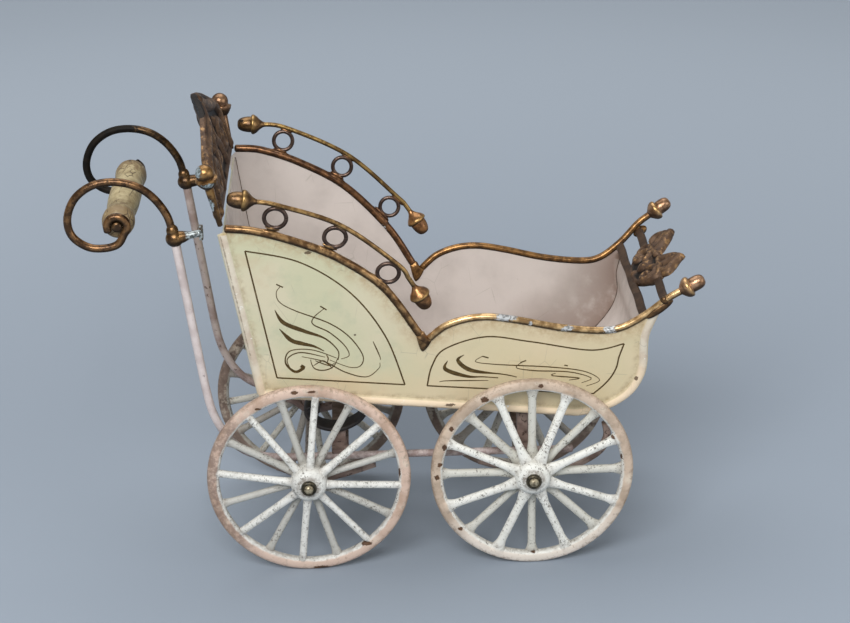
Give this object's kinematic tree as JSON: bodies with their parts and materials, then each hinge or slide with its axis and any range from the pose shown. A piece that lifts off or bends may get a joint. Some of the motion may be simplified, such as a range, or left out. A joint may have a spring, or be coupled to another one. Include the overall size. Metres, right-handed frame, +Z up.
{
  "type": "toy doll carriage",
  "caption": "Small tin doll carriage: flared painted tub with brass-toned rails, spoked wheels on wire chassis, scroll handle with a turned grip.",
  "frame": {"origin": "on the ground, under the middle of the carriage's bounding box", "axes": "+X towards the foot end, +Y towards the carriage's left, +Z up"},
  "size_m": [0.1818, 0.0794, 0.1389],
  "materials": {
    "cream_paint": "aged cream enamel, satin",
    "lining_paint": "aged pinkish white enamel, satin",
    "bronze": "worn copper-gold lacquer over solder",
    "dark_bronze": "darkened bronze lacquer",
    "wheel_paint": "chipped off-white enamel",
    "chassis_paint": "aged pinkish white enamel",
    "black_paint": "black enamel",
    "steel": "bare, dulled",
    "grip_paint": "cracked cream-yellow paint"
  },
  "bodies": {
    "carriage": {"right_side_panel": "cream_paint", "left_side_panel": "cream_paint", "back_panel": "cream_paint", "floor_pan": "lining_paint", "crest": "dark_bronze", "foot_guard": "dark_bronze", "right_arch_rail": "bronze", "left_arch_rail": "bronze", "right_foot_rail": "bronze", "left_foot_rail": "bronze", "right_foot_rail_finial": "bronze", "left_foot_rail_finial": "bronze", "right_rail_junction": "bronze", "left_rail_junction": "bronze", "right_gallery_rod": "bronze", "left_gallery_rod": "bronze", "right_gallery_head_finial": "bronze", "left_gallery_head_finial": "bronze", "right_gallery_foot_finial": "bronze", "left_gallery_foot_finial": "bronze", "right_gallery_ring_1": "bronze", "right_gallery_ring_2": "bronze", "right_gallery_ring_3": "bronze", "left_gallery_ring_1": "bronze", "left_gallery_ring_2": "bronze", "left_gallery_ring_3": "bronze", "right_crest_post": "bronze", "left_crest_post": "bronze", "right_handle_rod": "chassis_paint", "left_handle_rod": "chassis_paint", "right_rear_axle_hanger": "chassis_paint", "left_rear_axle_hanger": "chassis_paint", "right_front_axle_hanger": "chassis_paint", "left_front_axle_hanger": "chassis_paint", "rear_bolster": "chassis_paint", "front_bolster": "chassis_paint", "right_rear_spring": "black_paint", "left_rear_spring": "black_paint", "rear_axle": "steel", "front_axle": "steel", "right_rear_hub_nut": "steel", "left_rear_hub_nut": "steel", "right_front_hub_nut": "steel", "left_front_hub_nut": "steel", "right_handle_scroll": "bronze", "left_handle_scroll": "bronze", "right_handle_clamp": "dark_bronze", "left_handle_clamp": "dark_bronze", "grip_spindle": "steel"},
    "right_rear_wheel": {"right_rear_wheel": "wheel_paint"},
    "left_rear_wheel": {"left_rear_wheel": "wheel_paint"},
    "right_front_wheel": {"right_front_wheel": "wheel_paint"},
    "left_front_wheel": {"left_front_wheel": "wheel_paint"},
    "grip": {"grip": "grip_paint"}
  },
  "joints": [
    {"name": "right_rear_wheel_spin", "type": "hinge", "parent": "carriage", "child": "right_rear_wheel", "pos_m": [-0.02453, -0.0306, 0.02997], "axis": [0, 1, 0], "continuous": true},
    {"name": "left_rear_wheel_spin", "type": "hinge", "parent": "carriage", "child": "left_rear_wheel", "pos_m": [-0.02453, 0.0306, 0.02997], "axis": [0, 1, 0], "continuous": true},
    {"name": "right_front_wheel_spin", "type": "hinge", "parent": "carriage", "child": "right_front_wheel", "pos_m": [0.04132, -0.0306, 0.02997], "axis": [0, 1, 0], "continuous": true},
    {"name": "left_front_wheel_spin", "type": "hinge", "parent": "carriage", "child": "left_front_wheel", "pos_m": [0.04132, 0.0306, 0.02997], "axis": [0, 1, 0], "continuous": true},
    {"name": "grip_spin", "type": "hinge", "parent": "carriage", "child": "grip", "pos_m": [-0.07603, 0, 0.10827], "axis": [0, 1, 0], "continuous": true}
  ]
}
